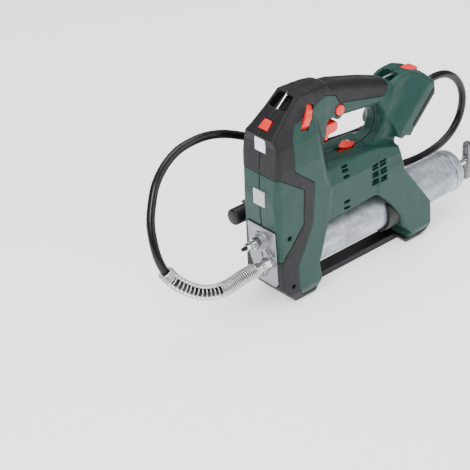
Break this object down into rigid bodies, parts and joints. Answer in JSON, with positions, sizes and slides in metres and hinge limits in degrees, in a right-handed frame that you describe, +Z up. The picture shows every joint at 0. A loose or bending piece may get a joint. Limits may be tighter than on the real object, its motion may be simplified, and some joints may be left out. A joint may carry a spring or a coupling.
{
  "type": "grease gun",
  "caption": "Cordless cartridge grease gun: upright housing with top handle, side barrel with plunger, front pump head, and a hose with a spring guard and coupler.",
  "frame": {"origin": "on the floor plane, centred across the tool, on the underside of the base bar, midway between the tip of the bleeder valve and the end of the plunger handle", "axes": "+Z up; +X from the pump head at the front to the plunger handle at the rear; +Y to the side that carries the coupler holder"},
  "size_m": [0.5819, 0.0984, 0.281],
  "materials": {
    "green_plastic": "satin",
    "black_rubber": "matte",
    "black_plastic": "matte",
    "red_plastic": "satin",
    "cast_aluminium": "satin",
    "zinc_steel": "satin",
    "bright_steel": "polished",
    "galvanised_steel": "mottled",
    "hose_rubber": "gloss",
    "lens": "clear",
    "circuit_board": "satin",
    "brass": "satin",
    "plate_grey": "satin"
  },
  "bodies": {
    "housing": {"housing_right": "green_plastic", "housing_left": "green_plastic", "nose_cover_right": "green_plastic", "nose_cover_left": "green_plastic", "overmould_right": "black_rubber", "overmould_left": "black_rubber", "rear_shoe_right": "black_rubber", "rear_shoe_left": "black_rubber", "base_bar": "black_plastic", "housing_screws": "zinc_steel", "front_strap_bar": "bright_steel", "rear_strap_bar": "bright_steel", "name_plate": "plate_grey", "led_lens": "lens", "led_board": "circuit_board", "dial_shaft": "black_plastic", "trigger_switch": "black_plastic", "battery_contact_block": "black_plastic", "battery_terminals": "brass", "pump_head": "cast_aluminium", "bleeder_valve": "zinc_steel", "outlet_union": "zinc_steel", "gearbox_housing": "cast_aluminium", "motor_can": "zinc_steel", "control_board": "circuit_board", "barrel_saddle": "black_plastic", "hose_holder": "black_plastic", "hose_ferrule_front": "zinc_steel", "spring_guard": "zinc_steel", "hose": "hose_rubber", "hose_ferrule_rear": "zinc_steel", "grease_coupler": "zinc_steel", "coupler_cap": "black_plastic"},
    "speed_dial": {"speed_dial": "red_plastic"},
    "trigger": {"trigger": "red_plastic"},
    "lock_button": {"lock_button": "red_plastic"},
    "gear_selector": {"gear_selector": "red_plastic"},
    "led_button": {"led_button": "red_plastic"},
    "battery_release": {"battery_release_button": "red_plastic"},
    "bleeder_pin": {"bleeder_pin": "black_plastic"},
    "rotor": {"motor_rotor": "zinc_steel"},
    "crank": {"output_crank": "zinc_steel"},
    "piston": {"pump_piston": "zinc_steel"},
    "barrel": {"barrel_tube": "galvanised_steel", "barrel_cap": "galvanised_steel", "follower_spring": "zinc_steel"},
    "plunger": {"follower_cup": "black_plastic", "plunger_rod": "bright_steel", "t_handle": "zinc_steel"}
  },
  "joints": [
    {"name": "dial_turn", "type": "hinge", "parent": "housing", "child": "speed_dial", "pos_m": [-0.119, 0, 0.246], "axis": [0.866, 0, -0.5], "range_deg": [-150, 150]},
    {"name": "trigger_pull", "type": "slide", "parent": "housing", "child": "trigger", "axis": [0, 0, 1], "range_m": [0, 0.006], "stiffness_N_per_m": 600, "springref_m": -0.004},
    {"name": "lock_press", "type": "slide", "parent": "housing", "child": "lock_button", "axis": [0, 1, 0], "range_m": [0, 0.003], "stiffness_N_per_m": 400, "springref_m": -0.003},
    {"name": "gear_slide", "type": "slide", "parent": "housing", "child": "gear_selector", "axis": [-0.9934, 0, 0.1145], "range_m": [0, 0.01]},
    {"name": "led_press", "type": "slide", "parent": "housing", "child": "led_button", "axis": [0.6587, 0, -0.7524], "range_m": [0, 0.0015], "stiffness_N_per_m": 400, "springref_m": -0.003},
    {"name": "battery_release_press", "type": "slide", "parent": "housing", "child": "battery_release", "axis": [-0.342, 0, -0.9397], "range_m": [0, 0.0025], "stiffness_N_per_m": 500, "springref_m": -0.004},
    {"name": "bleeder_press", "type": "slide", "parent": "housing", "child": "bleeder_pin", "axis": [1, 0, 0], "range_m": [0, 0.002], "stiffness_N_per_m": 800, "springref_m": -0.003},
    {"name": "motor_spin", "type": "hinge", "parent": "housing", "child": "rotor", "pos_m": [-0.047, 0, 0.133], "axis": [1, 0, 0], "continuous": true},
    {"name": "crank_spin", "type": "hinge", "parent": "housing", "child": "crank", "pos_m": [-0.123, 0, 0.133], "axis": [1, 0, 0], "continuous": true},
    {"name": "piston_stroke", "type": "slide", "parent": "housing", "child": "piston", "axis": [0, 0, 1], "range_m": [-0.005, 0.005]},
    {"name": "barrel_unscrew", "type": "hinge", "parent": "housing", "child": "barrel", "pos_m": [0.023, 0, 0.057], "axis": [1, 0, 0], "continuous": true},
    {"name": "plunger_pull", "type": "slide", "parent": "barrel", "child": "plunger", "axis": [1, 0, 0], "range_m": [0, 0.2], "stiffness_N_per_m": 150, "springref_m": -0.06, "deforming": ["follower_spring"]}
  ],
  "couplings": [
    {"joint": "crank_spin", "follows": "motor_spin", "ratio": 0.027778}
  ]
}
